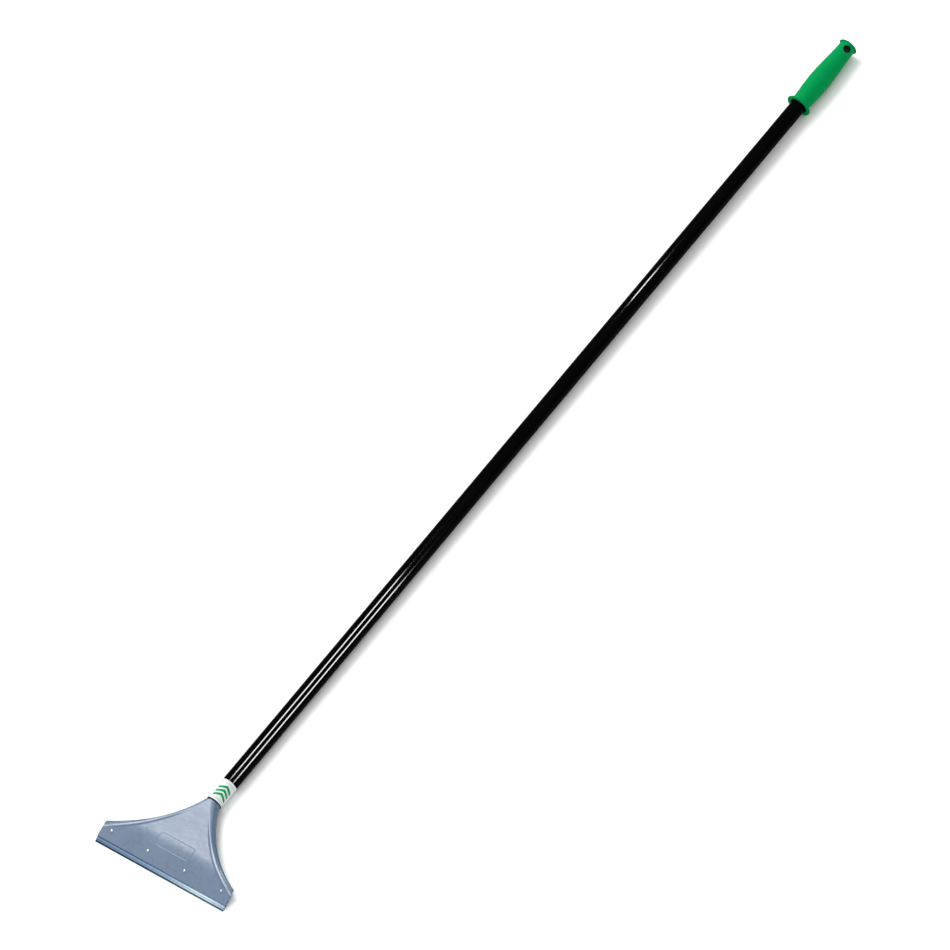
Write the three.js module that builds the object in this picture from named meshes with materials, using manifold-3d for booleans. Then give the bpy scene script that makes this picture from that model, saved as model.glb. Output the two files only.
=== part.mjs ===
// Long-handled scraper for ice and packed snow.
//
// A stamped steel pan carries a riveted hardened blade along its wide edge. Its narrow end closes
// into a half-round neck over a steel tang, and the tang is riveted inside a painted tube handle.
// A printed film is wrapped round the joint, and a moulded grip with a hand stop and a hanging hole
// is pushed over the other end of the tube.
//
// Tool frame, in millimetres: X runs along the handle from the neck (X = 0) to the grip, Y runs
// along the blade, and Z points out of the face of the pan. The tube's axis is the X axis. The whole
// tool is then laid on the ground, so that the blade's corners and the hand stop touch Z = 0.

import * as THREE from 'three';
import { mergeVertices } from 'three/addons/utils/BufferGeometryUtils.js';
import Module from 'manifold-3d';

const wasm = await Module();
wasm.setup();

// ---------------------------------------------------------------- driving dimensions
const GAP = 0.3;                          // air left between two pieces that touch

const TUBE_RADIUS = 11.1;                 // a 7/8 inch tube
const TUBE_WALL = 1.2;
const TUBE_START = 1.1;                   // the tube butts against the slanted neck
const TUBE_INTO_GRIP = 95;

const FILM_START = 2;
const FILM_LENGTH = 32;
const FILM_CLEARANCE = 0.1;
const FILM_THICKNESS = 0.3;

const SHEET = 1.6;                        // thickness of the pan
const PAN_TAPER = THREE.MathUtils.degToRad(4.8);
const PAN_BEND = THREE.MathUtils.degToRad(13);
const BEND_START = 72;                    // distances below are measured along the pan from the neck
const BEND_END = 90;
const FLARE_END = 91;
const FLARE_RADIUS = 195;
const FLANGE_FADE = 5;
const PAN_END = 113.2;
const EDGE_RADIUS = TUBE_RADIUS;          // the sides turn down round this radius
const NECK_EDGE_TURN = THREE.MathUtils.degToRad(90);
const CORNER_EDGE_TURN = THREE.MathUtils.degToRad(24);

const BLADE_WIDTH = 217;
const BLADE_THICKNESS = 1.6;
const BLADE_START = 91.5;
const BLADE_END = 121;
const BEVEL_LENGTH = 4;
const BLADE_TIP_THICKNESS = 0.8;
const BLADE_CORNER = 12;                  // cut off the upper corners, clear of the turned edge

const RIVET_COUNT = 4;
const RIVET_SPACING = 62;
const RIVET_LINE = 99.7;
const RIVET_SHANK_RADIUS = 1.5;
const RIVET_HEAD_RADIUS = 2.4;
const RIVET_HEAD_HEIGHT = 1.3;
const RIVET_TAIL_RADIUS = 2.4;
const RIVET_TAIL_HEIGHT = 1.2;
const WASHER_RADIUS = 3.8;
const WASHER_THICKNESS = 0.8;

const TANG_INTO_PAN = 52;
const TANG_INTO_TUBE = 62;
const TANG_CHAMFER = 2;
const PIN_RADIUS = 2.5;
const PIN_AT = 19;

const GRIP_START = 1283;                  // the face of the hand stop
const GRIP_LENGTH = 116;
const STOP_RADIUS = 18;
const STOP_THICKNESS = 2.2;
const STOP_ROUNDING = 0.7;
const MOUTH_RADIUS = 12.8;
const MOUTH_DEPTH = 5;
const GRIP_ROOT_RADIUS = 12.5;
const GRIP_SWELL_RADIUS = 14.9;
const GRIP_SWELL_AT = 49;
const GRIP_WAIST_RADIUS = 11.7;
const GRIP_WAIST_AT = 109;
const GRIP_LIP_RADIUS = 13.6;
const HANG_HOLE_RADIUS = 5.2;
const HANG_HOLE_FROM_END = 10;
const HANG_HOLE_TURN = THREE.MathUtils.degToRad(38);   // about the handle, from the pan's face

const ROUND_STEPS = 48;                   // facets round every tube-like piece
const SMALL_ROUND_STEPS = 24;
const EPS = 1e-6;

// ---------------------------------------------------------------- materials
const paint = (name, color, roughness, metalness) =>
  new THREE.MeshStandardMaterial({ name, color, roughness, metalness });

const PAN_PAINT = paint('pan_paint', 0xb4c1d5, 0.42, 0.5);
const BLADE_STEEL = paint('blade_steel', 0xa9bcd8, 0.35, 0.9);
const RIVET_STEEL = paint('rivet_steel', 0xd0d5dc, 0.3, 0.9);
const TUBE_PAINT = paint('tube_paint', 0x050505, 0.2, 0.2);
const TANG_STEEL = paint('tang_steel', 0x6f7378, 0.5, 0.9);
const FILM_WHITE = paint('film_white', 0xf2f5f5, 0.45, 0);
const GRIP_GREEN = paint('grip_green', 0x048d49, 0.5, 0);

// ---------------------------------------------------------------- solids
function toManifold(geometry) {
  const bare = geometry.clone();
  bare.deleteAttribute('normal');
  bare.deleteAttribute('uv');
  const merged = mergeVertices(bare, 1e-4);
  const vertProperties = new Float32Array(merged.attributes.position.array);
  const triVerts = new Uint32Array(merged.index.array);
  return new wasm.Manifold(new wasm.Mesh({ numProp: 3, vertProperties, triVerts }));
}

function fromManifold(solid) {
  const mesh = solid.getMesh();
  const geometry = new THREE.BufferGeometry();
  const positions = new THREE.BufferAttribute(new Float32Array(mesh.vertProperties), 3);
  geometry.setAttribute('position', positions);
  geometry.setIndex(new THREE.BufferAttribute(new Uint32Array(mesh.triVerts), 1));
  geometry.computeVertexNormals();
  return geometry;
}

function cut(geometry, cutters) {
  let solid = toManifold(geometry);
  for (const cutter of cutters) solid = solid.subtract(toManifold(cutter));
  return fromManifold(solid);
}

// A solid of revolution about the X axis, from a closed outline of [x, radius] points.
function turnedAboutX(outline, steps) {
  const points = outline.map(([x, radius]) => new THREE.Vector2(radius, x));
  const geometry = new THREE.LatheGeometry(points, steps);
  geometry.rotateZ(-Math.PI / 2);
  return geometry;
}

// A straight drill of the given radius, centred on `at` and running along `axis`.
function drill(at, axis, radius, length) {
  const geometry = new THREE.CylinderGeometry(radius, radius, length, SMALL_ROUND_STEPS);
  const turn = new THREE.Quaternion();
  turn.setFromUnitVectors(new THREE.Vector3(0, 1, 0), axis);
  geometry.applyQuaternion(turn);
  geometry.translate(at.x, at.y, at.z);
  return geometry;
}

function named(name, geometry, material) {
  const mesh = new THREE.Mesh(geometry, material);
  mesh.name = name;
  return mesh;
}

// ---------------------------------------------------------------- the pan's spine
// The middle line of the pan's face, seen from the side: straight, one round bend, straight.
function spine(distance) {
  const radius = (BEND_END - BEND_START) / PAN_BEND;
  const straight = Math.min(distance, BEND_START);
  let x = -straight * Math.cos(PAN_TAPER);
  let z = TUBE_RADIUS - straight * Math.sin(PAN_TAPER);
  let angle = PAN_TAPER;
  if (distance > BEND_START) {
    const bent = Math.min(distance, BEND_END) - BEND_START;
    angle = PAN_TAPER + bent / radius;
    x -= radius * (Math.sin(angle) - Math.sin(PAN_TAPER));
    z -= radius * (Math.cos(PAN_TAPER) - Math.cos(angle));
  }
  if (distance > BEND_END) {
    x -= (distance - BEND_END) * Math.cos(angle);
    z -= (distance - BEND_END) * Math.sin(angle);
  }
  return { x, z, angle };
}

// A point at `distance` along the spine, `y` to the side and `height` above the face.
function onPan(distance, y, height) {
  const { x, z, angle } = spine(distance);
  return new THREE.Vector3(x - height * Math.sin(angle), y, z + height * Math.cos(angle));
}

function panNormal(distance) {
  const { angle } = spine(distance);
  return new THREE.Vector3(-Math.sin(angle), 0, Math.cos(angle));
}

// The angle at which the flare leaves the neck, for one arc from there to the blade's end.
function flareStart() {
  const start = new THREE.Vector2(0, TUBE_RADIUS);
  const end = new THREE.Vector2(FLARE_END, BLADE_WIDTH / 2);
  const chord = end.clone().sub(start);
  return chord.angle() - Math.asin(chord.length() / 2 / FLARE_RADIUS);
}

// Half the pan's width.
function halfWidth(distance) {
  if (distance >= FLARE_END) return BLADE_WIDTH / 2;
  const first = flareStart();
  const sine = Math.sin(first) + distance / FLARE_RADIUS;
  return TUBE_RADIUS + FLARE_RADIUS * (Math.cos(first) - Math.sqrt(1 - sine * sine));
}

// The angle that the side is turned down through at a distance.
function edgeTurn(distance) {
  const t = Math.min(distance / FLARE_END, 1);
  const turned = THREE.MathUtils.lerp(NECK_EDGE_TURN, CORNER_EDGE_TURN, t);
  const fade = 1 - THREE.MathUtils.smoothstep(distance, FLARE_END, FLARE_END + FLANGE_FADE);
  return Math.max(turned * fade, EPS);
}

// One cross-section of the pan at `depth` under its face, from -Y to +Y.
function panSection(distance, depth) {
  const flatSteps = 5;
  const turnSteps = 7;
  const turn = edgeTurn(distance);
  const flat = Math.max(halfWidth(distance) - EDGE_RADIUS * Math.sin(turn), 0);
  const half = [];
  for (let i = 0; i <= flatSteps; i += 1) half.push([flat * i / flatSteps, -depth]);
  for (let i = 1; i <= turnSteps; i += 1) {
    const angle = turn * i / turnSteps;
    const y = flat + (EDGE_RADIUS - depth) * Math.sin(angle);
    half.push([y, (EDGE_RADIUS - depth) * Math.cos(angle) - EDGE_RADIUS]);
  }
  const mirrored = half.slice(1).reverse().map(([y, height]) => [-y, height]);
  return [...mirrored, ...half].map(([y, height]) => onPan(distance, y, height));
}

function panStations() {
  const flareSteps = 22;
  const stations = [];
  for (let i = 0; i <= flareSteps; i += 1) stations.push(FLARE_END * i / flareSteps);
  stations.push(FLARE_END + FLANGE_FADE / 3, FLARE_END + FLANGE_FADE * 2 / 3);
  stations.push(FLARE_END + FLANGE_FADE, PAN_END);
  return stations;
}

// A closed sheet between two grids of points that share their outline.
function sheetBetween(upper, lower) {
  const rows = upper.length;
  const columns = upper[0].length;
  const positions = [...upper.flat(), ...lower.flat()].flatMap((point) => point.toArray());
  const index = [];
  const top = (row, column) => row * columns + column;
  const bottom = (row, column) => rows * columns + top(row, column);
  const quad = (a, b, c, d) => index.push(a, b, c, a, c, d);
  for (let row = 0; row + 1 < rows; row += 1) {
    for (let column = 0; column + 1 < columns; column += 1) {
      quad(top(row, column + 1), top(row + 1, column + 1), top(row + 1, column), top(row, column));
      quad(bottom(row, column), bottom(row + 1, column),
        bottom(row + 1, column + 1), bottom(row, column + 1));
    }
    quad(top(row, 0), top(row + 1, 0), bottom(row + 1, 0), bottom(row, 0));
    const end = columns - 1;
    quad(top(row + 1, end), top(row, end), bottom(row, end), bottom(row + 1, end));
  }
  for (let column = 0; column + 1 < columns; column += 1) {
    const end = rows - 1;
    quad(top(0, column + 1), top(0, column), bottom(0, column), bottom(0, column + 1));
    quad(top(end, column), top(end, column + 1), bottom(end, column + 1), bottom(end, column));
  }
  const geometry = new THREE.BufferGeometry();
  geometry.setAttribute('position', new THREE.Float32BufferAttribute(positions, 3));
  geometry.setIndex(index);
  return geometry;
}

// ---------------------------------------------------------------- pan, blade and rivets
function rivetOffsets() {
  const first = -RIVET_SPACING * (RIVET_COUNT - 1) / 2;
  return Array.from({ length: RIVET_COUNT }, (_, i) => first + i * RIVET_SPACING);
}

function rivetDrills() {
  const radius = RIVET_SHANK_RADIUS + GAP;
  const reach = 4 * (SHEET + BLADE_THICKNESS);
  const axis = panNormal(RIVET_LINE);
  return rivetOffsets().map((y) => drill(onPan(RIVET_LINE, y, 0), axis, radius, reach));
}

function pan() {
  const stations = panStations();
  const face = stations.map((distance) => panSection(distance, 0));
  const back = stations.map((distance) => panSection(distance, SHEET));
  return named('scraper_pan', cut(sheetBetween(face, back), rivetDrills()), PAN_PAINT);
}

// A prism standing on the pan's straight end, from an outline of [distance, y] points.
function platePrism(outline, low, high) {
  const shape = new THREE.Shape(outline.map(([distance, y]) => new THREE.Vector2(distance, -y)));
  const geometry = new THREE.ExtrudeGeometry(shape, { depth: high - low, bevelEnabled: false });
  geometry.translate(-BEND_END, 0, low);
  const normal = panNormal(BEND_END);
  const across = new THREE.Vector3(0, -1, 0);
  const along = across.clone().cross(normal);
  geometry.applyMatrix4(new THREE.Matrix4().makeBasis(along, across, normal));
  const { x, z } = onPan(BEND_END, 0, 0);
  return geometry.translate(x, 0, z);
}

function bladeCornerCutters() {
  const side = BLADE_WIDTH / 2;
  const clearOfEdge = FLARE_END + FLANGE_FADE + 2 * GAP;
  const out = side + BLADE_CORNER;
  return [-1, 1].map((sign) => {
    const outline = [[clearOfEdge, side], [BLADE_START, side - BLADE_CORNER],
      [BLADE_START - GAP, side - BLADE_CORNER], [BLADE_START - GAP, out], [clearOfEdge, out]];
    const mirrored = outline.map(([distance, y]) => [distance, sign * y]);
    return platePrism(mirrored, -4 * SHEET, SHEET);
  });
}

// The blade lies flat behind the pan's straight part and is ground on the face side.
function blade() {
  const top = -SHEET - GAP;
  const back = top - BLADE_THICKNESS;
  const ground = BLADE_END - BEVEL_LENGTH;
  const outline = [
    [BLADE_START, top],
    [BLADE_START, back],
    [BLADE_END, back],
    [BLADE_END, back + BLADE_TIP_THICKNESS],
    [ground, top],
  ];
  const corners = outline.map(([distance, height]) => onPan(distance, 0, height));
  const shape = new THREE.Shape(corners.map(({ x, z }) => new THREE.Vector2(x, z)));
  const geometry = new THREE.ExtrudeGeometry(shape, { depth: BLADE_WIDTH, bevelEnabled: false });
  geometry.rotateX(Math.PI / 2);
  geometry.translate(0, BLADE_WIDTH / 2, 0);
  const cutters = [...rivetDrills(), ...bladeCornerCutters()];
  return named('blade', cut(geometry, cutters), BLADE_STEEL);
}

// Puts a piece turned about X onto the rivet line, with its X axis along the pan's normal.
function ontoRivetLine(geometry, y) {
  const turn = new THREE.Quaternion();
  turn.setFromUnitVectors(new THREE.Vector3(1, 0, 0), panNormal(RIVET_LINE));
  geometry.applyQuaternion(turn);
  const { x, z } = onPan(RIVET_LINE, y, 0);
  geometry.translate(x, y, z);
  return geometry;
}

// Half an ellipse from its rim to its top, as [x, radius] points.
function dome(rim, radius, height, steps) {
  const points = [];
  for (let i = 0; i <= steps; i += 1) {
    const angle = Math.PI / 2 * i / steps;
    const away = i === steps ? 0 : radius * Math.cos(angle);
    points.push([rim + height * Math.sin(angle), away]);
  }
  return points;
}

function rivet(y, name) {
  const domeSteps = 5;
  const seat = GAP / 2;
  const tail = -(SHEET + GAP + BLADE_THICKNESS + GAP + WASHER_THICKNESS + GAP);
  const outline = [
    ...dome(tail, RIVET_TAIL_RADIUS, -RIVET_TAIL_HEIGHT, domeSteps).reverse(),
    [tail, RIVET_SHANK_RADIUS],
    [seat, RIVET_SHANK_RADIUS],
    ...dome(seat, RIVET_HEAD_RADIUS, RIVET_HEAD_HEIGHT, domeSteps),
  ];
  return named(name, ontoRivetLine(turnedAboutX(outline, SMALL_ROUND_STEPS), y), RIVET_STEEL);
}

function washer(y, name) {
  const near = -(SHEET + GAP + BLADE_THICKNESS + GAP);
  const far = near - WASHER_THICKNESS;
  const hole = RIVET_SHANK_RADIUS + GAP;
  const outline = [[far, hole], [far, WASHER_RADIUS], [near, WASHER_RADIUS], [near, hole], [far, hole]];
  return named(name, ontoRivetLine(turnedAboutX(outline, SMALL_ROUND_STEPS), y), RIVET_STEEL);
}

// ---------------------------------------------------------------- handle
function pinDrill() {
  const along = new THREE.Vector3(0, 0, 1);
  return drill(new THREE.Vector3(PIN_AT, 0, 0), along, PIN_RADIUS + GAP, 4 * TUBE_RADIUS);
}

function tube() {
  const end = GRIP_START + TUBE_INTO_GRIP;
  const inner = TUBE_RADIUS - TUBE_WALL;
  const outline = [
    [TUBE_START, inner],
    [TUBE_START, TUBE_RADIUS],
    [end, TUBE_RADIUS],
    [end, inner],
    [TUBE_START, inner],
  ];
  return named('handle_tube', cut(turnedAboutX(outline, ROUND_STEPS), [pinDrill()]), TUBE_PAINT);
}

// A round bar: one end in the tube, the other under the neck, planed to lie against the pan.
function tang() {
  const inTube = TUBE_RADIUS - TUBE_WALL - GAP;
  const inNeck = TUBE_RADIUS - SHEET - GAP;
  const outline = [
    [-TANG_INTO_PAN, 0],
    [-TANG_INTO_PAN, inNeck - TANG_CHAMFER],
    [-TANG_INTO_PAN + TANG_CHAMFER, inNeck],
    [TUBE_START, inNeck],
    [TUBE_START + GAP, inTube],
    [TANG_INTO_TUBE - TANG_CHAMFER, inTube],
    [TANG_INTO_TUBE, inTube - TANG_CHAMFER],
    [TANG_INTO_TUBE, 0],
  ];
  const planing = new THREE.BoxGeometry(2 * TANG_INTO_PAN, 4 * TUBE_RADIUS, TUBE_RADIUS);
  planing.translate(-TANG_INTO_PAN, 0, TUBE_RADIUS / 2 - SHEET - GAP);
  planing.rotateY(-PAN_TAPER);
  planing.translate(0, 0, TUBE_RADIUS);
  const bar = cut(turnedAboutX(outline, ROUND_STEPS), [planing, pinDrill()]);
  return named('tang', bar, TANG_STEEL);
}

function tangPin() {
  const half = TUBE_RADIUS - 2 * GAP;
  const geometry = new THREE.CylinderGeometry(PIN_RADIUS, PIN_RADIUS, 2 * half, SMALL_ROUND_STEPS);
  geometry.rotateX(Math.PI / 2);
  geometry.translate(PIN_AT, 0, 0);
  return named('tang_pin', geometry, RIVET_STEEL);
}

function film() {
  const inner = TUBE_RADIUS + FILM_CLEARANCE;
  const outer = inner + FILM_THICKNESS;
  const end = FILM_START + FILM_LENGTH;
  const outline = [
    [FILM_START, inner],
    [FILM_START, outer],
    [end, outer],
    [end, inner],
    [FILM_START, inner],
  ];
  return named('label_film', turnedAboutX(outline, ROUND_STEPS), FILM_WHITE);
}

// ---------------------------------------------------------------- grip
function gripBodyOutline() {
  const bodySteps = 14;
  const curve = new THREE.SplineCurve([
    new THREE.Vector2(STOP_THICKNESS, GRIP_ROOT_RADIUS),
    new THREE.Vector2(GRIP_SWELL_AT, GRIP_SWELL_RADIUS),
    new THREE.Vector2(GRIP_WAIST_AT, GRIP_WAIST_RADIUS),
    new THREE.Vector2(GRIP_LENGTH - 1, GRIP_LIP_RADIUS),
  ]);
  return curve.getPoints(bodySteps).map(({ x, y }) => [x, y]);
}

function grip() {
  const bore = TUBE_RADIUS + GAP;
  const boreEnd = TUBE_INTO_GRIP + GAP;
  const outline = [
    [0, MOUTH_RADIUS],
    [0, STOP_RADIUS - STOP_ROUNDING],
    [STOP_ROUNDING, STOP_RADIUS],
    [STOP_THICKNESS - STOP_ROUNDING, STOP_RADIUS],
    [STOP_THICKNESS, STOP_RADIUS - STOP_ROUNDING],
    ...gripBodyOutline(),
    [GRIP_LENGTH, GRIP_LIP_RADIUS - 1],
    [GRIP_LENGTH, 0],
    [boreEnd, 0],
    [boreEnd, bore],
    [MOUTH_DEPTH, bore],
    [MOUTH_DEPTH, MOUTH_RADIUS],
    [0, MOUTH_RADIUS],
  ];
  const geometry = turnedAboutX(outline, ROUND_STEPS);
  const at = new THREE.Vector3(GRIP_LENGTH - HANG_HOLE_FROM_END, 0, 0);
  const along = new THREE.Vector3(0, -Math.sin(HANG_HOLE_TURN), Math.cos(HANG_HOLE_TURN));
  const hole = drill(at, along, HANG_HOLE_RADIUS, 4 * GRIP_LIP_RADIUS);
  const mesh = named('grip', cut(geometry, [hole]), GRIP_GREEN);
  mesh.position.x = GRIP_START;
  return mesh;
}

// ---------------------------------------------------------------- assembly
const head = new THREE.Group();
head.add(pan(), blade());
rivetOffsets().forEach((y, i) => {
  head.add(rivet(y, `rivet_${i + 1}`), washer(y, `washer_${i + 1}`));
});

const handle = new THREE.Group();
handle.add(tang(), tangPin(), tube(), film(), grip());

const tool = new THREE.Group();
tool.add(head, handle);

// Laid on the ground: pitched until the blade and the hand stop are equally low, then centred.
const bladeLow = onPan(BLADE_END, 0, -SHEET - GAP - BLADE_THICKNESS);
tool.rotation.y = -Math.asin((STOP_RADIUS + bladeLow.z) / (GRIP_START - bladeLow.x));
tool.updateMatrixWorld(true);
const box = new THREE.Box3().setFromObject(tool, true);
const middle = box.getCenter(new THREE.Vector3());
tool.position.set(-middle.x, -middle.y, -box.min.z);

const part = new THREE.Group();
part.add(tool);

export default part;
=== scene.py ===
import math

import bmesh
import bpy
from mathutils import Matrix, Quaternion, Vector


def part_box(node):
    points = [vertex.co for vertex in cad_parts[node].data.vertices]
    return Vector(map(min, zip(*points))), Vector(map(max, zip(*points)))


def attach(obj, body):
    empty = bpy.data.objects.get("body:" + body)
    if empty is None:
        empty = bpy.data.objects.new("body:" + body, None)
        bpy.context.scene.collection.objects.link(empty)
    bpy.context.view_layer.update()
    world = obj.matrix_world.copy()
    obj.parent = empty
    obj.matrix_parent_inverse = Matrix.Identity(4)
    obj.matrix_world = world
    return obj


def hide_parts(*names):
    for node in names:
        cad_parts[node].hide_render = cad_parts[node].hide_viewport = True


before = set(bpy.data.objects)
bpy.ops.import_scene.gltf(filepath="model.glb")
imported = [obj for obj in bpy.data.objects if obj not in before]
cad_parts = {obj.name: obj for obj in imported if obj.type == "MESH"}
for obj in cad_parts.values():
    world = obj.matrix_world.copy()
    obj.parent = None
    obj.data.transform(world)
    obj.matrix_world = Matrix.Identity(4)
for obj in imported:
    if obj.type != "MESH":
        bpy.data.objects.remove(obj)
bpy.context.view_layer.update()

# Looks of a long-handled scraper for ice and packed snow. Lengths are in metres.
#
# The pieces are built in the tool's own frame, which is the CAD's: X runs along the handle from
# the neck (X = 0) to the grip, Y along the blade, and Z out of the face of the pan. The frame's
# film and tube give that frame's place, because both are centred on the tool's X axis.

MM = 0.001
GAP = 0.3 * MM                            # air left between two pieces that touch

TUBE_RADIUS = 11.1 * MM
TUBE_WALL = 1.2 * MM
TUBE_START = 1.1 * MM
TUBE_INTO_GRIP = 95 * MM
TUBE_ROUNDING = 0.25 * MM

FILM_START = 2 * MM
FILM_LENGTH = 32 * MM
FILM_RADIUS = TUBE_RADIUS + 0.1 * MM
FILM_THICKNESS = 0.3 * MM
INK_THICKNESS = 0.05 * MM
CHEVRON_COUNT = 3
CHEVRON_FIRST = FILM_START + 9.5 * MM
CHEVRON_PITCH = 6 * MM
CHEVRON_REACH = 10.5 * MM                 # round the film, to each side
CHEVRON_RISE = 5 * MM
CHEVRON_WIDTH = 3.6 * MM
CHEVRON_STEPS = 24
CHEVRON_FACING = math.radians(125)        # from the tool's Y axis, towards Z

SHEET = 1.6 * MM                          # thickness of the pan
SHEET_ROUNDING = 0.45 * MM
PAN_TAPER = math.radians(4.8)
PAN_BEND = math.radians(13)
BEND_START = 72 * MM                      # distances are measured along the pan from the neck
BEND_END = 90 * MM
FLARE_END = 91 * MM
FLARE_RADIUS = 195 * MM
FLANGE_FADE = 5 * MM
PAN_END = 113.2 * MM
EDGE_RADIUS = TUBE_RADIUS                 # the sides turn down round this radius
NECK_EDGE_TURN = math.radians(90)
CORNER_EDGE_TURN = math.radians(24)

RIM_BEAD_MIDDLE = 6.2 * MM                # a raised bead that follows each flared side
RIM_BEAD_HALF = 3.2 * MM
RIM_BEAD_HEIGHT = 1.1 * MM
RIM_BEAD_START = 12 * MM
RIM_BEAD_FADE = 50 * MM

PANEL_MIDDLE = 78 * MM                    # a blank embossed frame on the pan's face
PANEL_HALF_LENGTH = 10 * MM
PANEL_HALF_WIDTH = 28.5 * MM
PANEL_CORNER = 3 * MM
PANEL_RIDGE_HALF = 0.9 * MM
PANEL_RIDGE_HEIGHT = 0.18 * MM
PANEL_CLEAR = PANEL_HALF_WIDTH + 3 * MM   # the mesh's columns follow the panel out to here,
PANEL_SHARE = 0.6                         # or over this share of a narrower section
KNEE_REACH = 1.5 * MM                     # the turned side's columns start this far inside it,
KNEE_SHARE = 0.35                         # but no nearer the middle than this share

BLADE_WIDTH = 217 * MM
BLADE_THICKNESS = 1.6 * MM
BLADE_START = 91.5 * MM
BLADE_END = 121 * MM
BEVEL_LENGTH = 4 * MM
BLADE_TIP_THICKNESS = 0.8 * MM
BLADE_CORNER = 12 * MM
BLADE_ROUNDING = 0.12 * MM
BLADE_ROUNDING_LIMIT = math.radians(5)    # shallower edges stay as they are

RIVET_COUNT = 4
RIVET_SPACING = 62 * MM
RIVET_LINE = 99.7 * MM
RIVET_SHANK_RADIUS = 1.5 * MM
RIVET_HEAD_RADIUS = 2.4 * MM
RIVET_HEAD_HEIGHT = 1.3 * MM
RIVET_TAIL_RADIUS = 2.4 * MM
RIVET_TAIL_HEIGHT = 1.2 * MM
WASHER_RADIUS = 3.8 * MM
WASHER_THICKNESS = 0.8 * MM
WASHER_ROUNDING = 0.2 * MM

TANG_INTO_PAN = 52 * MM
TANG_INTO_TUBE = 62 * MM
TANG_CHAMFER = 2 * MM
PIN_RADIUS = 2.5 * MM
PIN_AT = 19 * MM
PIN_CHAMFER = 0.4 * MM

GRIP_START = 1283 * MM                    # the face of the hand stop
GRIP_LENGTH = 116 * MM
STOP_RADIUS = 18 * MM
STOP_THICKNESS = 2.2 * MM
STOP_ROUNDING = 0.9 * MM
MOUTH_RADIUS = 12.8 * MM
MOUTH_DEPTH = 5 * MM
MOUTH_ROUNDING = 0.5 * MM
GRIP_ROOT_RADIUS = 12.5 * MM
GRIP_SWELL_RADIUS = 14.9 * MM
GRIP_SWELL_AT = 49 * MM
GRIP_WAIST_RADIUS = 11.7 * MM
GRIP_WAIST_AT = 109 * MM
GRIP_LIP_RADIUS = 13.6 * MM
GRIP_END_ROUNDING = 1 * MM
GRIP_ROOT_FILLET = 1.5 * MM
GRIP_STEPS = 16
HANG_HOLE_RADIUS = 5.2 * MM
HANG_HOLE_AT = GRIP_START + GRIP_LENGTH - 10 * MM
HANG_HOLE_ROUNDING = 0.9 * MM
HANG_HOLE_STRAIGHT = 10.3 * MM            # half the length of its round bore
HANG_HOLE_FLARE = math.radians(60)
HANG_HOLE_TURN = math.radians(38)         # about the handle, from the pan's face
SEAM_HEIGHT = 0.12 * MM

ROUND_STEPS = 144
SMALL_ROUND_STEPS = 48
ARC_STEPS = 6
TUBE_STEPS = 24
MIDDLE_STEPS = 9                          # steps of the pan's columns, from the middle outwards
RIDGE_STEPS = 4
SLOPE_STEPS = 44
EDGE_STEPS = 14
FLARE_STEPS = 130                         # steps of the pan's sections, from the neck to the blade
FADE_STEPS = 10
SKIRT_STEPS = 8
SMOOTH_ANGLE = math.radians(35)
MERGE_DISTANCE = 1e-7

CAMERA_TARGET = Vector((-0.05947, 0.01827, 0.012))
CAMERA_DISTANCE = 9.4558
CAMERA_AZIMUTH = -125.883                 # degrees from +X, towards +Y
CAMERA_ELEVATION = 50.939
CAMERA_ROLL = math.radians(-20.499)
CAMERA_LENS = 274.07
CAMERA_SENSOR = 36

KEY_AZIMUTH = 66                          # degrees from +X, towards +Y
KEY_ELEVATION = 56
KEY_DISTANCE = 4
KEY_HALF_ANGLE = math.radians(15)
KEY_RADIANCE = 7
STRIP_DISTANCE = 1.5
STRIP_WIDTH = 0.35
STRIP_RADIANCE = 880
LONG_LINE = (32 * MM, 385 * MM)           # where the tube's highlights start and end
SHORT_LINE = (895 * MM, 950 * MM)
HIGH_OFFSET = -0.3                        # in tube radii, off the line nearest the camera
LOW_OFFSET = 0.24
SHORT_OFFSET = -0.36
CARD_PLACE = -0.9 * BLADE_WIDTH           # its middle, along the blade's line
CARD_DISTANCE = 0.6
CARD_SIZE = (0.14, 0.6)
CARD_RADIANCE = 7
CARD_COLOR = (1, 0.72, 0.4)
BLADE_TILT = math.radians(23.5)           # halfway between the blade's flat and its bevel
SKY_RADIANCE = 1.15
SKY_HEIGHT = 0.75                         # heights are sines of the elevation
HORIZON_RADIANCE = 0.22
HORIZON_HEIGHT = 0.1
FLOOR_SIDE = 14
FLOOR_STEPS = 8


# ---------------------------------------------------------------- frame
def middle_of(node):
    """The middle of a CAD node's box."""
    low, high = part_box(node)
    return (low + high) / 2


def tool_matrix():
    """The tool frame's place in the row frame, from the middles of the film and the tube."""
    film = middle_of("label_film")
    along = (middle_of("handle_tube") - film).normalized()
    across = Vector((0, 1, 0))
    origin = film - along * (FILM_START + FILM_LENGTH / 2)
    turned = Matrix((along, across, along.cross(across))).transposed()
    return Matrix.Translation(origin) @ turned.to_4x4()


TOOL = tool_matrix()


# ---------------------------------------------------------------- meshes
def make_object(name, points, faces):
    """An object in the scene with its own mesh."""
    mesh = bpy.data.meshes.new(name)
    mesh.from_pydata([tuple(p) for p in points], [], faces)
    mesh.validate()
    made = bpy.data.objects.new(name, mesh)
    bpy.context.scene.collection.objects.link(made)
    return made


def apply_modifiers(piece):
    """Turns what the modifiers make into the piece's own mesh."""
    bpy.context.view_layer.update()
    graph = bpy.context.evaluated_depsgraph_get()
    mesh = bpy.data.meshes.new_from_object(piece.evaluated_get(graph))
    piece.modifiers.clear()
    piece.data = mesh
    mesh.name = piece.name


def cut(piece, cutters):
    """Takes the cutters away from the piece, and removes them."""
    for cutter in cutters:
        modifier = piece.modifiers.new("cut", "BOOLEAN")
        modifier.operation = "DIFFERENCE"
        modifier.solver = "EXACT"
        modifier.object = cutter
    apply_modifiers(piece)
    for cutter in cutters:
        bpy.data.objects.remove(cutter)
    return piece


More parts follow.
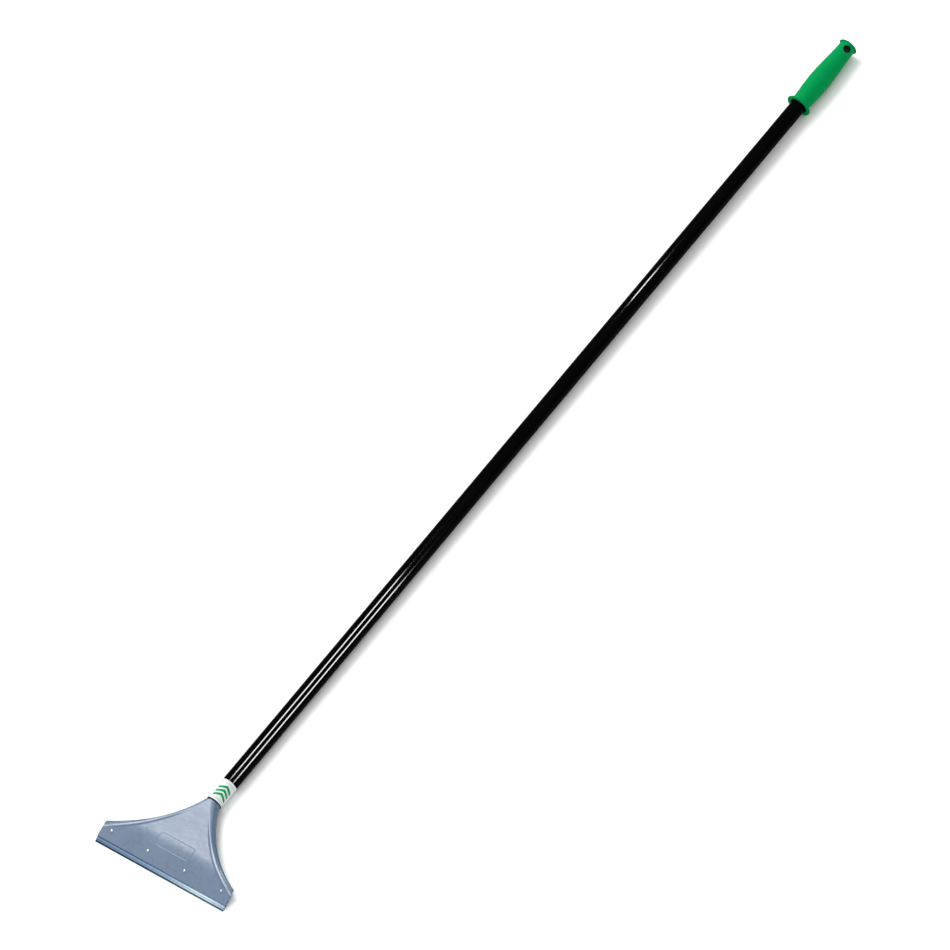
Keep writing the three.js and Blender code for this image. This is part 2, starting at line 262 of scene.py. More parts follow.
def round_edges(piece, width, limit):
    """Rounds the edges that turn by more than the limit."""
    modifier = piece.modifiers.new("rounding", "BEVEL")
    modifier.width = width
    modifier.segments = 2
    modifier.limit_method = "ANGLE"
    modifier.angle_limit = limit
    apply_modifiers(piece)
    return piece


def fix_normals(piece):
    """Joins points that coincide and faces every polygon outwards."""
    shape = bmesh.new()
    shape.from_mesh(piece.data)
    bmesh.ops.remove_doubles(shape, verts=shape.verts, dist=MERGE_DISTANCE)
    bmesh.ops.recalc_face_normals(shape, faces=shape.faces)
    shape.to_mesh(piece.data)
    shape.free()


def finish_piece(piece, material, slot, *nodes):
    """Shades the piece, puts it in the tool's place, and lets it stand for its CAD nodes."""
    piece.data.materials.clear()
    piece.data.materials.append(material)
    piece.data.shade_smooth()
    piece.data.set_sharp_from_angle(angle=SMOOTH_ANGLE)
    piece.data.transform(TOOL)
    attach(piece, "root")
    if nodes:
        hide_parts(*nodes)
    return piece


def loft(rings, close_ends=True):
    """Faces between closed rings of equal length, with the two ends filled."""
    count = len(rings[0])
    points = [point for ring in rings for point in ring]
    faces = []
    for ring in range(len(rings) - 1):
        near, far = ring * count, (ring + 1) * count
        for i in range(count):
            j = (i + 1) % count
            faces.append((near + i, near + j, far + j, far + i))
    if close_ends:
        last = (len(rings) - 1) * count
        faces.append(tuple(reversed(range(count))))
        faces.append(tuple(last + i for i in range(count)))
    return points, faces


def turned(name, outline, steps=ROUND_STEPS, raise_at=None):
    """A solid of revolution about X from [x, radius] points, which close on themselves or end on the axis."""
    on_axis = outline[0][1] == 0
    points, faces, starts = [], [], []
    for x, radius in outline:
        starts.append(len(points))
        if radius == 0:
            points.append((x, 0, 0))
            continue
        for i in range(steps):
            angle = 2 * math.pi * i / steps
            r = radius + (raise_at(x, angle) if raise_at else 0)
            points.append((x, r * math.cos(angle), r * math.sin(angle)))
    count = len(outline)
    for k in range(count - 1 if on_axis else count):
        a, b = k, (k + 1) % count
        for i in range(steps):
            j = (i + 1) % steps
            corners = [starts[a] + (i if outline[a][1] else 0), starts[a] + (j if outline[a][1] else 0),
                       starts[b] + (j if outline[b][1] else 0), starts[b] + (i if outline[b][1] else 0)]
            faces.append(tuple(dict.fromkeys(corners)))
    return make_object(name, points, faces)


def fillet(corner_x, corner_r, radius, start, turn):
    """Points of a quarter arc inside a corner: start and turn are in quarter turns from +X."""
    middle_x = corner_x - radius * (math.cos(start * math.pi / 2) + math.cos((start + turn) * math.pi / 2))
    middle_r = corner_r - radius * (math.sin(start * math.pi / 2) + math.sin((start + turn) * math.pi / 2))
    points = []
    for i in range(ARC_STEPS + 1):
        angle = (start + turn * i / ARC_STEPS) * math.pi / 2
        points.append((middle_x + radius * math.cos(angle), middle_r + radius * math.sin(angle)))
    return points


# ---------------------------------------------------------------- the pan's shape
def spine(distance):
    """The middle line of the pan's face: straight, one round bend, straight. Returns x, z, angle."""
    radius = (BEND_END - BEND_START) / PAN_BEND
    straight = min(distance, BEND_START)
    x = -straight * math.cos(PAN_TAPER)
    z = TUBE_RADIUS - straight * math.sin(PAN_TAPER)
    angle = PAN_TAPER
    if distance > BEND_START:
        angle = PAN_TAPER + (min(distance, BEND_END) - BEND_START) / radius
        x -= radius * (math.sin(angle) - math.sin(PAN_TAPER))
        z -= radius * (math.cos(PAN_TAPER) - math.cos(angle))
    if distance > BEND_END:
        x -= (distance - BEND_END) * math.cos(angle)
        z -= (distance - BEND_END) * math.sin(angle)
    return x, z, angle


def on_pan(distance, y, height):
    """A point at a distance along the spine, y to the side and height above the face."""
    x, z, angle = spine(distance)
    return Vector((x - height * math.sin(angle), y, z + height * math.cos(angle)))


def pan_normal(distance):
    """The direction out of the pan's face."""
    angle = spine(distance)[2]
    return Vector((-math.sin(angle), 0, math.cos(angle)))


def flare_start():
    """The angle at which the flare leaves the neck, for one arc from there to the blade's end."""
    chord = Vector((FLARE_END, BLADE_WIDTH / 2 - TUBE_RADIUS))
    return math.atan2(chord.y, chord.x) - math.asin(chord.length / 2 / FLARE_RADIUS)


def flare_middle():
    """The middle of the flare's arc, as a distance along the pan and a place to its side."""
    first = flare_start()
    return -FLARE_RADIUS * math.sin(first), TUBE_RADIUS + FLARE_RADIUS * math.cos(first)


def half_width(distance):
    """Half the pan's width."""
    if distance >= FLARE_END:
        return BLADE_WIDTH / 2
    middle, side = flare_middle()
    return side - math.sqrt(FLARE_RADIUS ** 2 - (distance - middle) ** 2)


def lerp(a, b, t):
    """The value a share t of the way from a to b."""
    return a + (b - a) * t


def smooth(t):
    """An S-shaped step from 0 to 1."""
    t = min(max(t, 0), 1)
    return t * t * (3 - 2 * t)


def edge_turn(distance):
    """The angle that the side is turned down through at a distance."""
    turned_by = lerp(NECK_EDGE_TURN, CORNER_EDGE_TURN, min(distance / FLARE_END, 1))
    return turned_by * (1 - smooth((distance - FLARE_END) / FLANGE_FADE))


def flat_half(distance):
    """Half the width of the part of the pan between its turned sides."""
    return max(half_width(distance) - EDGE_RADIUS * math.sin(edge_turn(distance)), 0)


def rim_bead(distance, y):
    """How far the bead along the flared side lifts the sheet."""
    middle, side = flare_middle()
    from_side = math.hypot(distance - middle, y - side) - FLARE_RADIUS
    away = min(abs(from_side - RIM_BEAD_MIDDLE) / RIM_BEAD_HALF, 1)
    runs_in = smooth((distance - RIM_BEAD_START) / RIM_BEAD_FADE)
    runs_out = 1 - smooth((distance - FLARE_END) / FLANGE_FADE)
    return RIM_BEAD_HEIGHT * (1 - away * away) ** 1.5 * runs_in * runs_out


def panel_ridge(distance, y):
    """How far the embossed frame lifts the sheet."""
    over_x = abs(distance - PANEL_MIDDLE) - (PANEL_HALF_LENGTH - PANEL_CORNER)
    over_y = abs(y) - (PANEL_HALF_WIDTH - PANEL_CORNER)
    outside = math.hypot(max(over_x, 0), max(over_y, 0)) + min(max(over_x, over_y), 0)
    away = abs(outside - PANEL_CORNER) / PANEL_RIDGE_HALF
    return PANEL_RIDGE_HEIGHT * (1 - smooth(away))


def pan_point(distance, along, depth):
    """The point at arc length `along` from the spine, at a depth under the face."""
    flat = flat_half(distance)
    side = math.copysign(1, along)
    along = abs(along)
    if along <= flat:
        lift = panel_ridge(distance, along) + rim_bead(distance, along)
        return on_pan(distance, side * along, lift - depth)
    angle = (along - flat) / EDGE_RADIUS
    reach = EDGE_RADIUS - depth + rim_bead(distance, flat + EDGE_RADIUS * math.sin(angle))
    return on_pan(distance, side * (flat + reach * math.sin(angle)), reach * math.cos(angle) - EDGE_RADIUS)


def near(value, reach, steps):
    """Values spread evenly about one value."""
    return [value + reach * i / steps for i in range(-steps, steps + 1)]


def pan_columns(distance, inset):
    """Arc lengths of one half's columns: a middle that keeps its width, a flare, and the turned edge."""
    flat = flat_half(distance)
    end = flat + EDGE_RADIUS * edge_turn(distance) - inset
    knee = max(flat - KNEE_REACH, KNEE_SHARE * end)
    middle = min(PANEL_CLEAR, PANEL_SHARE * knee)
    inner = [(PANEL_HALF_WIDTH - PANEL_CORNER) * i / MIDDLE_STEPS for i in range(MIDDLE_STEPS + 1)]
    inner += [PANEL_HALF_WIDTH - PANEL_CORNER / 2]
    inner += near(PANEL_HALF_WIDTH, PANEL_RIDGE_HALF, RIDGE_STEPS)
    inner += [PANEL_CLEAR]
    columns = [value * (middle / PANEL_CLEAR) for value in inner]
    columns += [lerp(middle, knee, i / SLOPE_STEPS) for i in range(1, SLOPE_STEPS + 1)]
    columns += [lerp(knee, end, i / EDGE_STEPS) for i in range(1, EDGE_STEPS + 1)]
    return columns


def pan_ring(distance, inset):
    """One closed section of the pan. The inset thins the sheet near its ends, to round them."""
    rounding = SHEET_ROUNDING
    columns = pan_columns(distance, inset + rounding)
    end = columns[-1]
    thin = SHEET / 2 - inset
    corner = min(rounding, thin)
    rim = []
    for i in range(1, ARC_STEPS):
        angle = math.pi / 2 * i / ARC_STEPS
        rim.append((end + rounding * math.sin(angle), inset + corner * (1 - math.cos(angle))))
    rim.append((end + rounding, inset + corner))
    face = [(along, inset) for along in columns]
    side = face + rim
    back = [(along, SHEET - depth) for along, depth in reversed(side)]
    half = side + back
    other = [(-along, depth) for along, depth in reversed(half[1:-1])]
    return [pan_point(distance, along, depth) for along, depth in half + other]


def pan_stations():
    """Distances of the pan's sections, each with its inset."""
    rows = [FLARE_END * i / FLARE_STEPS for i in range(1, FLARE_STEPS + 1)]
    for border in (PANEL_MIDDLE - PANEL_HALF_LENGTH, PANEL_MIDDLE + PANEL_HALF_LENGTH):
        clear = PANEL_RIDGE_HALF * (1 + 1 / RIDGE_STEPS)
        rows = [row for row in rows if abs(row - border) > clear]
        rows += near(border, PANEL_RIDGE_HALF, RIDGE_STEPS)
    rows += [FLARE_END + FLANGE_FADE * i / FADE_STEPS for i in range(1, FADE_STEPS + 1)]
    skirt = FLARE_END + FLANGE_FADE
    rows += [lerp(skirt, PAN_END - SHEET_ROUNDING, i / SKIRT_STEPS) for i in range(1, SKIRT_STEPS)]
    ends = []
    for i in range(ARC_STEPS + 1):
        angle = math.pi / 2 * i / ARC_STEPS
        inset = SHEET_ROUNDING * (1 - math.cos(angle))
        reach = SHEET_ROUNDING * (1 - math.sin(angle))
        ends.append((reach, inset))
    start = [(reach, inset) for reach, inset in reversed(ends)]
    finish = [(PAN_END - reach, inset) for reach, inset in ends]
    return start + [(row, 0) for row in sorted(rows)] + finish


# ---------------------------------------------------------------- head
def rivet_offsets():
    """Where the rivets stand along the blade."""
    first = -RIVET_SPACING * (RIVET_COUNT - 1) / 2
    return [first + i * RIVET_SPACING for i in range(RIVET_COUNT)]


def onto_rivet_line(piece, y):
    """Turns a piece made about X so that its X axis stands on the rivet line."""
    turn = Vector((1, 0, 0)).rotation_difference(pan_normal(RIVET_LINE)).to_matrix().to_4x4()
    piece.data.transform(Matrix.Translation(on_pan(RIVET_LINE, y, 0)) @ turn)
    return piece


def rivet_drills():
    """Cutters for the rivet holes through the pan and the blade."""
    reach = 2 * (SHEET + BLADE_THICKNESS)
    hole = RIVET_SHANK_RADIUS + GAP
    outline = [(-reach, 0), (-reach, hole), (reach, hole), (reach, 0)]
    return [onto_rivet_line(turned("drill", outline, SMALL_ROUND_STEPS), y) for y in rivet_offsets()]


def make_pan(material):
    """The stamped pan, lofted along its spine from the neck to the blade."""
    rings = [pan_ring(distance, inset) for distance, inset in pan_stations()]
    points, faces = loft(rings, close_ends=False)
    count = len(rings[0])
    piece = make_object("pan", points, faces + end_caps(len(rings), count))
    fix_normals(piece)
    cut(piece, rivet_drills())
    return finish_piece(piece, material, "pan_paint", "scraper_pan")


def end_caps(rings, count):
    """Quads that close the first and the last ring: ring points pair up face to back."""
    half = count // 2
    faces = []
    for first, flip in ((0, False), ((rings - 1) * count, True)):
        for i in range(-half // 2 + 1, half // 2):
            a, b = i % count, (i + 1) % count
            c, d = (half - 1 - i - 1) % count, (half - 1 - i) % count
            face = tuple(dict.fromkeys((first + a, first + b, first + c, first + d)))
            if len(face) > 2:
                faces.append(face[::-1] if flip else face)
    return faces


def make_prism(name, outline, half):
    """A prism across Y from an outline of (distance, height) points on the pan."""
    near_side = [on_pan(distance, -half, height) for distance, height in outline]
    far_side = [on_pan(distance, half, height) for distance, height in outline]
    piece = make_object(name, *loft([near_side, far_side]))
    fix_normals(piece)
    return piece


def corner_cutters():
    """Triangles that take off the blade's upper corners, clear of the pan's turned edge."""
    side = BLADE_WIDTH / 2
    clear = FLARE_END + FLANGE_FADE + 2 * GAP
    out = side + BLADE_CORNER
    start = BLADE_START - GAP
    outline = [(clear, side), (BLADE_START, side - BLADE_CORNER), (start, side - BLADE_CORNER),
               (start, out), (clear, out)]
    cutters = []
    for sign in (-1, 1):
        low = [on_pan(BEND_END, 0, -4 * SHEET) for _ in outline]
        high = [on_pan(BEND_END, 0, SHEET) for _ in outline]
        angle = spine(BEND_END)[2]
        down = Vector((-math.cos(angle), 0, -math.sin(angle)))
        for ring in (low, high):
            for i, (distance, y) in enumerate(outline):
                ring[i] = ring[i] + down * (distance - BEND_END) + Vector((0, sign * y, 0))
        cutter = make_object("corner", *loft([low, high]))
        fix_normals(cutter)
        cutters.append(cutter)
    return cutters


def make_blade(material):
    """The blade behind the pan's end, ground to its tip from the face side."""
    top = -SHEET - GAP
    back = top - BLADE_THICKNESS
    outline = [(BLADE_START, top), (BLADE_START, back), (BLADE_END, back),
               (BLADE_END, back + BLADE_TIP_THICKNESS), (BLADE_END - BEVEL_LENGTH, top)]
    piece = make_prism("ground_blade", outline, BLADE_WIDTH / 2)
    round_edges(piece, BLADE_ROUNDING, BLADE_ROUNDING_LIMIT)
    cut(piece, corner_cutters() + rivet_drills())
    return finish_piece(piece, material, "blade_steel", "blade")


def dome(rim, radius, height):
    """The outline of a low dome about X that stands on x = rim."""
    steps = 2 * ARC_STEPS
    points = []
    for i in range(steps + 1):
        angle = math.pi / 2 * i / steps
        away = 0 if i == steps else radius * math.cos(angle)
        points.append((rim + height * math.sin(angle), away))
    return points


def make_rivet(index, y, material):
    """A rivet with its domed head on the face and its peened tail behind the washer."""
    seat = GAP / 2
    tail = -(SHEET + BLADE_THICKNESS + WASHER_THICKNESS + 3 * GAP)
    outline = dome(tail, RIVET_TAIL_RADIUS, -RIVET_TAIL_HEIGHT)[::-1]
    outline += [(tail, RIVET_SHANK_RADIUS), (seat, RIVET_SHANK_RADIUS)]
    outline += dome(seat, RIVET_HEAD_RADIUS, RIVET_HEAD_HEIGHT)
    piece = onto_rivet_line(turned(f"round_rivet_{index}", outline, SMALL_ROUND_STEPS), y)
    fix_normals(piece)
    return finish_piece(piece, material, "rivet_steel", f"rivet_{index}")


def ring_outline(low, high, inner, outer, rounding, stations=()):
    """The outline of a ring about X with rounded corners, and with extra points on its walls."""
    outer_wall = [(x, outer) for x in sorted(stations, reverse=True)]
    inner_wall = [(x, inner) for x in sorted(stations)]
    return [*fillet(high, outer, rounding, 1, -1)[::-1], *outer_wall,
            *fillet(low, outer, rounding, 2, -1)[::-1], *fillet(low, inner, rounding, 3, -1)[::-1],
            *inner_wall, *fillet(high, inner, rounding, 4, -1)[::-1]]


def make_washer(index, y, material):
    """The washer under a rivet's tail, behind the blade."""
    near_face = -(SHEET + BLADE_THICKNESS + 2 * GAP)
    far_face = near_face - WASHER_THICKNESS
    outline = ring_outline(far_face, near_face, RIVET_SHANK_RADIUS + GAP, WASHER_RADIUS, WASHER_ROUNDING)
    piece = onto_rivet_line(turned(f"round_washer_{index}", outline, SMALL_ROUND_STEPS), y)
    fix_normals(piece)
    return finish_piece(piece, material, "rivet_steel", f"washer_{index}")


# ---------------------------------------------------------------- handle
def stand_up(piece, x, turn=0):
    """Turns a piece made about X so that it stands across the handle at x, turned about the handle."""
    upright = Matrix.Rotation(-math.pi / 2, 4, "Y")
    piece.data.transform(Matrix.Translation((x, 0, 0)) @ Matrix.Rotation(turn, 4, "X") @ upright)


def pin_drill():
    """A cutter for the cross pin's hole."""
    reach = 2 * TUBE_RADIUS
    hole = PIN_RADIUS + GAP
    outline = [(-reach, 0), (-reach, hole), (reach, hole), (reach, 0)]
    drill = turned("drill", outline, SMALL_ROUND_STEPS)
    stand_up(drill, PIN_AT)
    fix_normals(drill)
    return drill


def make_tube(material):
    """The handle's tube, from the neck into the grip."""
    end = GRIP_START + TUBE_INTO_GRIP
    stations = [PIN_AT - 2 * PIN_RADIUS, PIN_AT + 2 * PIN_RADIUS, FILM_START + FILM_LENGTH]
    stations += [lerp(stations[-1], end, i / TUBE_STEPS) for i in range(1, TUBE_STEPS)]
    inner = TUBE_RADIUS - TUBE_WALL
    outline = ring_outline(TUBE_START, end, inner, TUBE_RADIUS, TUBE_ROUNDING, stations)
    piece = turned("painted_tube", outline)
    fix_normals(piece)
    cut(piece, [pin_drill()])
    return finish_piece(piece, material, "tube_paint", "handle_tube")


def make_tang(material):
    """The round bar inside the neck and the tube, planed where it lies against the pan."""
    in_tube = TUBE_RADIUS - TUBE_WALL - GAP
    in_neck = TUBE_RADIUS - SHEET - GAP
    outline = [(-TANG_INTO_PAN, 0), (-TANG_INTO_PAN, in_neck - TANG_CHAMFER),
               (-TANG_INTO_PAN + TANG_CHAMFER, in_neck), (TUBE_START, in_neck),
               (TUBE_START + GAP, in_tube), (TANG_INTO_TUBE - TANG_CHAMFER, in_tube),
               (TANG_INTO_TUBE, in_tube - TANG_CHAMFER), (TANG_INTO_TUBE, 0)]
    piece = turned("round_tang", outline)
    fix_normals(piece)
    cut(piece, [planing(), pin_drill()])
    return finish_piece(piece, material, "tang_steel", "tang")


def planing():
    """The block that is planed off the tang where it lies against the pan."""
    low, high = -SHEET - GAP, TUBE_RADIUS
    outline = [(0, low), (2 * TANG_INTO_PAN, low), (2 * TANG_INTO_PAN, high), (0, high)]
    half = 2 * TUBE_RADIUS
    rings = []
    for y in (-half, half):
        ring = []
        for along, height in outline:
            x = -along * math.cos(PAN_TAPER) - height * math.sin(PAN_TAPER)
            z = TUBE_RADIUS - along * math.sin(PAN_TAPER) + height * math.cos(PAN_TAPER)
            ring.append(Vector((x, y, z)))
        rings.append(ring)
    block = make_object("planing", *loft(rings))
    fix_normals(block)
    return block


def make_pin(material):
    """The pin across the tube and the tang."""
    half = TUBE_RADIUS - 2 * GAP
    outline = [(-half, 0), (-half, PIN_RADIUS - PIN_CHAMFER), (-half + PIN_CHAMFER, PIN_RADIUS),
               (half - PIN_CHAMFER, PIN_RADIUS), (half, PIN_RADIUS - PIN_CHAMFER), (half, 0)]
    piece = turned("cross_pin", outline, SMALL_ROUND_STEPS)
    stand_up(piece, PIN_AT)
    fix_normals(piece)
    return finish_piece(piece, material, "rivet_steel", "tang_pin")


def make_film(material):
    """The printed film round the end of the tube."""
    end = FILM_START + FILM_LENGTH
    rounding = FILM_THICKNESS / 3
    outline = ring_outline(FILM_START, end, FILM_RADIUS, FILM_RADIUS + FILM_THICKNESS, rounding)
    piece = turned("printed_film", outline)
    fix_normals(piece)
    return finish_piece(piece, material, "film_white", "label_film")


def make_chevron(index, material):
    """A printed arrowhead wrapped on the film, pointing up the handle."""
    low = FILM_RADIUS + FILM_THICKNESS
    high = low + INK_THICKNESS
    rings = []
    for share in near(0, 1, CHEVRON_STEPS):
        angle = CHEVRON_FACING + share * CHEVRON_REACH / low
        start = CHEVRON_FIRST + CHEVRON_PITCH * index - abs(share) * CHEVRON_RISE
        end = start + CHEVRON_WIDTH
        ring = []
        for along, radius in ((start, low), (end, low), (end, high), (start, high)):
            ring.append(Vector((along, radius * math.cos(angle), radius * math.sin(angle))))
        rings.append(ring)
    piece = make_object(f"ink_chevron_{index + 1}", *loft(rings))
    fix_normals(piece)
    return finish_piece(piece, material, "film_white")


def grip_profile():
    """Radii along the grip's body, by a smooth curve through its root, swell, waist and lip."""
    knots = [(STOP_THICKNESS, GRIP_ROOT_RADIUS), (GRIP_SWELL_AT, GRIP_SWELL_RADIUS),
             (GRIP_WAIST_AT, GRIP_WAIST_RADIUS), (GRIP_LENGTH - GRIP_END_ROUNDING, GRIP_LIP_RADIUS)]
    padded = [knots[0], *knots, knots[-1]]
    points = []
    for k in range(len(knots) - 1):
        before, start, end, after = padded[k:k + 4]
        for i in range(GRIP_STEPS):
            t = i / GRIP_STEPS
            points.append(tuple(catmull_rom(before[c], start[c], end[c], after[c], t) for c in (0, 1)))
    return [*points, knots[-1]]


def catmull_rom(before, start, end, after, t):
    """The value a share t of the way from start to end, on a curve through all four."""
    pull_out, pull_in = (end - before) / 2, (after - start) / 2
    return ((2 * start - 2 * end + pull_out + pull_in) * t ** 3
            + (-3 * start + 3 * end - 2 * pull_out - pull_in) * t ** 2 + pull_out * t + start)


def seam_height(x, angle):
    """The fine line that the two halves of the mould leave along the grip."""
    away = abs(math.remainder(angle, math.pi))
    on_line = away < math.pi / ROUND_STEPS
    on_body = STOP_THICKNESS < x < GRIP_LENGTH - GRIP_END_ROUNDING
    return SEAM_HEIGHT if on_line and on_body else 0


def make_grip(material):
    """The moulded grip: hand stop, bored body, solid end with the hanging hole."""
    bore = TUBE_RADIUS + GAP
    bore_end = TUBE_INTO_GRIP + GAP
    body = [(x, r) for x, r in grip_profile() if x > STOP_THICKNESS + GRIP_ROOT_FILLET]
    outline = [(bore_end, 0), (bore_end, bore), (MOUTH_DEPTH, bore), (MOUTH_DEPTH, MOUTH_RADIUS),
               *fillet(0, MOUTH_RADIUS, MOUTH_ROUNDING, 3, -1),
               *fillet(0, STOP_RADIUS, STOP_ROUNDING, 2, -1),
               *fillet(STOP_THICKNESS, STOP_RADIUS, STOP_ROUNDING, 1, -1),
               *fillet(STOP_THICKNESS, GRIP_ROOT_RADIUS, -GRIP_ROOT_FILLET, 1, 1)[::-1][1:], *body,
               *fillet(GRIP_LENGTH, GRIP_LIP_RADIUS, GRIP_END_ROUNDING, 1, -1), (GRIP_LENGTH, 0)]
    piece = turned("moulded_grip", outline, raise_at=seam_height)
    piece.data.transform(Matrix.Translation((GRIP_START, 0, 0)))
    fix_normals(piece)
    cut(piece, [hang_hole_cutter()])
    return finish_piece(piece, material, "grip_green", "grip")


def hang_hole_cutter():
    """A drill through the grip whose two ends flare, to round the hole's rims."""
    end = 2 * GRIP_LIP_RADIUS
    flare = []
    for i in range(ARC_STEPS + 1):
        angle = HANG_HOLE_FLARE * i / ARC_STEPS
        flare.append((HANG_HOLE_STRAIGHT + HANG_HOLE_ROUNDING * 2 * math.sin(angle),
                      HANG_HOLE_RADIUS + HANG_HOLE_ROUNDING * (1 - math.cos(angle))))
    flare.append((end, flare[-1][1] + (end - flare[-1][0]) / 2))
    outline = [(-end, 0), *[(-x, r) for x, r in reversed(flare)], *flare, (end, 0)]
    cutter = turned("hole", outline, SMALL_ROUND_STEPS)
    stand_up(cutter, HANG_HOLE_AT, HANG_HOLE_TURN)
    fix_normals(cutter)
    return cutter


# ---------------------------------------------------------------- material nodes
class Surface:
    """A node material built round one Principled shader."""

    def __init__(self, name, **settings):
        self.material = bpy.data.materials.new(name)
        self.material.use_nodes = True
        self.tree = self.material.node_tree
        self.shader = self.tree.nodes["Principled BSDF"]
        for socket, value in settings.items():
            self.shader.inputs[socket.replace("_", " ")].default_value = value
        self.place = self.node("ShaderNodeTexCoord").outputs["Object"]

    def node(self, kind, inputs=None, **settings):
        """A new node, with its settings made and its inputs linked or given values."""
        made = self.tree.nodes.new(kind)
        for key, value in settings.items():
            setattr(made, key, value)
        for key, value in (inputs or {}).items():
            if isinstance(value, bpy.types.NodeSocket):
                self.tree.links.new(value, made.inputs[key])
            else:
                made.inputs[key].default_value = value
        return made

    def noise(self, size, detail=2, stretch=(1, 1, 1), roughness=0.5):
        """Noise whose features are about `size` metres across, longer where stretch is over 1."""
        scale = [1 / (size * s) for s in stretch]
        mapped = self.node("ShaderNodeMapping", {"Vector": self.place, "Scale": scale})
        inputs = {"Vector": mapped.outputs[0], "Scale": 1, "Detail": detail, "Roughness": roughness}
        return self.node("ShaderNodeTexNoise", inputs).outputs["Fac"]

    def remap(self, value, low, high, to_low=0, to_high=1):
        """A value from one range brought to another, and held there."""
        inputs = {"Value": value, "From Min": low, "From Max": high, "To Min": to_low, "To Max": to_high}
        return self.node("ShaderNodeMapRange", inputs).outputs[0]

    def math(self, operation, a, b=0.0):
        """A sum, product or other operation on one or two values."""
        return self.node("ShaderNodeMath", {0: a, 1: b}, operation=operation).outputs[0]

    def mix(self, factor, a, b):
        """Colour a where the factor is 0, and b where it is 1."""
        inputs = {0: factor, 6: a, 7: b}
        return self.node("ShaderNodeMix", inputs, data_type="RGBA").outputs[2]

    def edges(self, low=0.52, high=0.6):
        """1 along convex edges, 0 elsewhere."""
        geometry = self.node("ShaderNodeNewGeometry")
        return self.remap(geometry.outputs["Pointiness"], low, high)

    def from_tool(self):
        """X, Y and Z of a place, measured from the tool's origin."""
        away = self.node("ShaderNodeVectorMath", {0: self.place, 1: TOOL.translation}, operation="SUBTRACT")
        return self.node("ShaderNodeSeparateXYZ", {0: away.outputs[0]}).outputs

    def line(self, value, at, half, fade, depth=1.0):
        """`depth` where a value is within `half` of `at`, and 0 beyond a short fade."""
        away = self.math("ABSOLUTE", self.math("SUBTRACT", value, at))
        return self.remap(away, half, half + fade, depth, 0)

    def bump(self, height, distance):
        """Adds a bump to the ones already there."""
        made = self.node("ShaderNodeBump", {"Height": height, "Distance": distance, "Strength": 1})
        normal = self.shader.inputs["Normal"]
        if normal.links:
            self.tree.links.new(normal.links[0].from_socket, made.inputs["Normal"])
        self.tree.links.new(made.outputs[0], normal)

    def set(self, **sockets):
        """Feeds the shader's sockets, named with _ for each space."""
        for name, value in sockets.items():
            self.tree.links.new(value, self.shader.inputs[name.replace("_", " ")])


# ---------------------------------------------------------------- materials
def flare_distance(s):
    """How far a point of the pan is from its flared side, on the surface `s`."""
    middle, side = flare_middle()
    foreshortening = -spine(FLARE_END / 2)[0] / (FLARE_END / 2)
    x, y, _ = s.from_tool()
    along = s.math("SUBTRACT", s.math("DIVIDE", x, -foreshortening), middle)
    across = s.math("SUBTRACT", s.math("ABSOLUTE", y), side)
    flat = s.node("ShaderNodeCombineXYZ", {0: along, 1: across})
    length = s.node("ShaderNodeVectorMath", {0: flat.outputs[0]}, operation="LENGTH")
    return s.math("SUBTRACT", length.outputs["Value"], FLARE_RADIUS)


def pan_enamel():
    """Blue-grey satin enamel, unevenly laid, rubbed thin along its edges, with a painted highlight along each
    bead's crest and painted shade on the turned sides.
    """
    s = Surface("pan_enamel", Metallic=0.0, Specular_IOR_Level=0.75)
    broad = s.noise(0.045, 3)
    mottle = s.noise(0.007, 4, roughness=0.6)
    grain = s.noise(0.0012, 2)
    color = s.mix(s.remap(broad, 0.35, 0.65), (0.092, 0.142, 0.228, 1), (0.113, 0.166, 0.258, 1))
    color = s.mix(s.remap(mottle, 0.3, 0.75, 0, 0.5), color, (0.135, 0.192, 0.288, 1))
    rubbed = s.math("MULTIPLY", s.edges(), s.remap(s.noise(0.004, 3), 0.45, 0.7, 0, 0.6))
    color = s.mix(rubbed, color, (0.32, 0.36, 0.4, 1))
    from_side = flare_distance(s)
    # Painted highlight: a light streak along each bead's crest, fading out towards the neck.
    crest = s.line(from_side, RIM_BEAD_MIDDLE - 0.4 * MM, 0.6 * MM, 1.1 * MM)
    painted_highlight = s.math("MULTIPLY", crest, s.remap(broad, 0.35, 0.6, 0.55, 1))
    painted_highlight = s.math("MULTIPLY", painted_highlight, s.remap(s.from_tool()[0], -42 * MM, -74 * MM, 0.1, 1))
    color = s.mix(painted_highlight, color, (0.5, 0.56, 0.62, 1))
    # Painted shade: the turned sides darker, and darker still along their outer edge.
    color = s.mix(s.remap(from_side, 3.6 * MM, 6 * MM, 0.75, 0), color, (0.05, 0.115, 0.2, 1))
    color = s.mix(s.remap(from_side, 0.7 * MM, 1.6 * MM, 0.85, 0), color, (0.02, 0.07, 0.11, 1))
    roughness = s.math("ADD", s.remap(mottle, 0.3, 0.7, 0.24, 0.31), s.remap(broad, 0.3, 0.7, 0, 0.05))
    s.set(Base_Color=color, Roughness=roughness)
    s.bump(broad, 0.0012)
    s.bump(mottle, 0.00008)
    s.bump(grain, 0.000008)
    return s.material


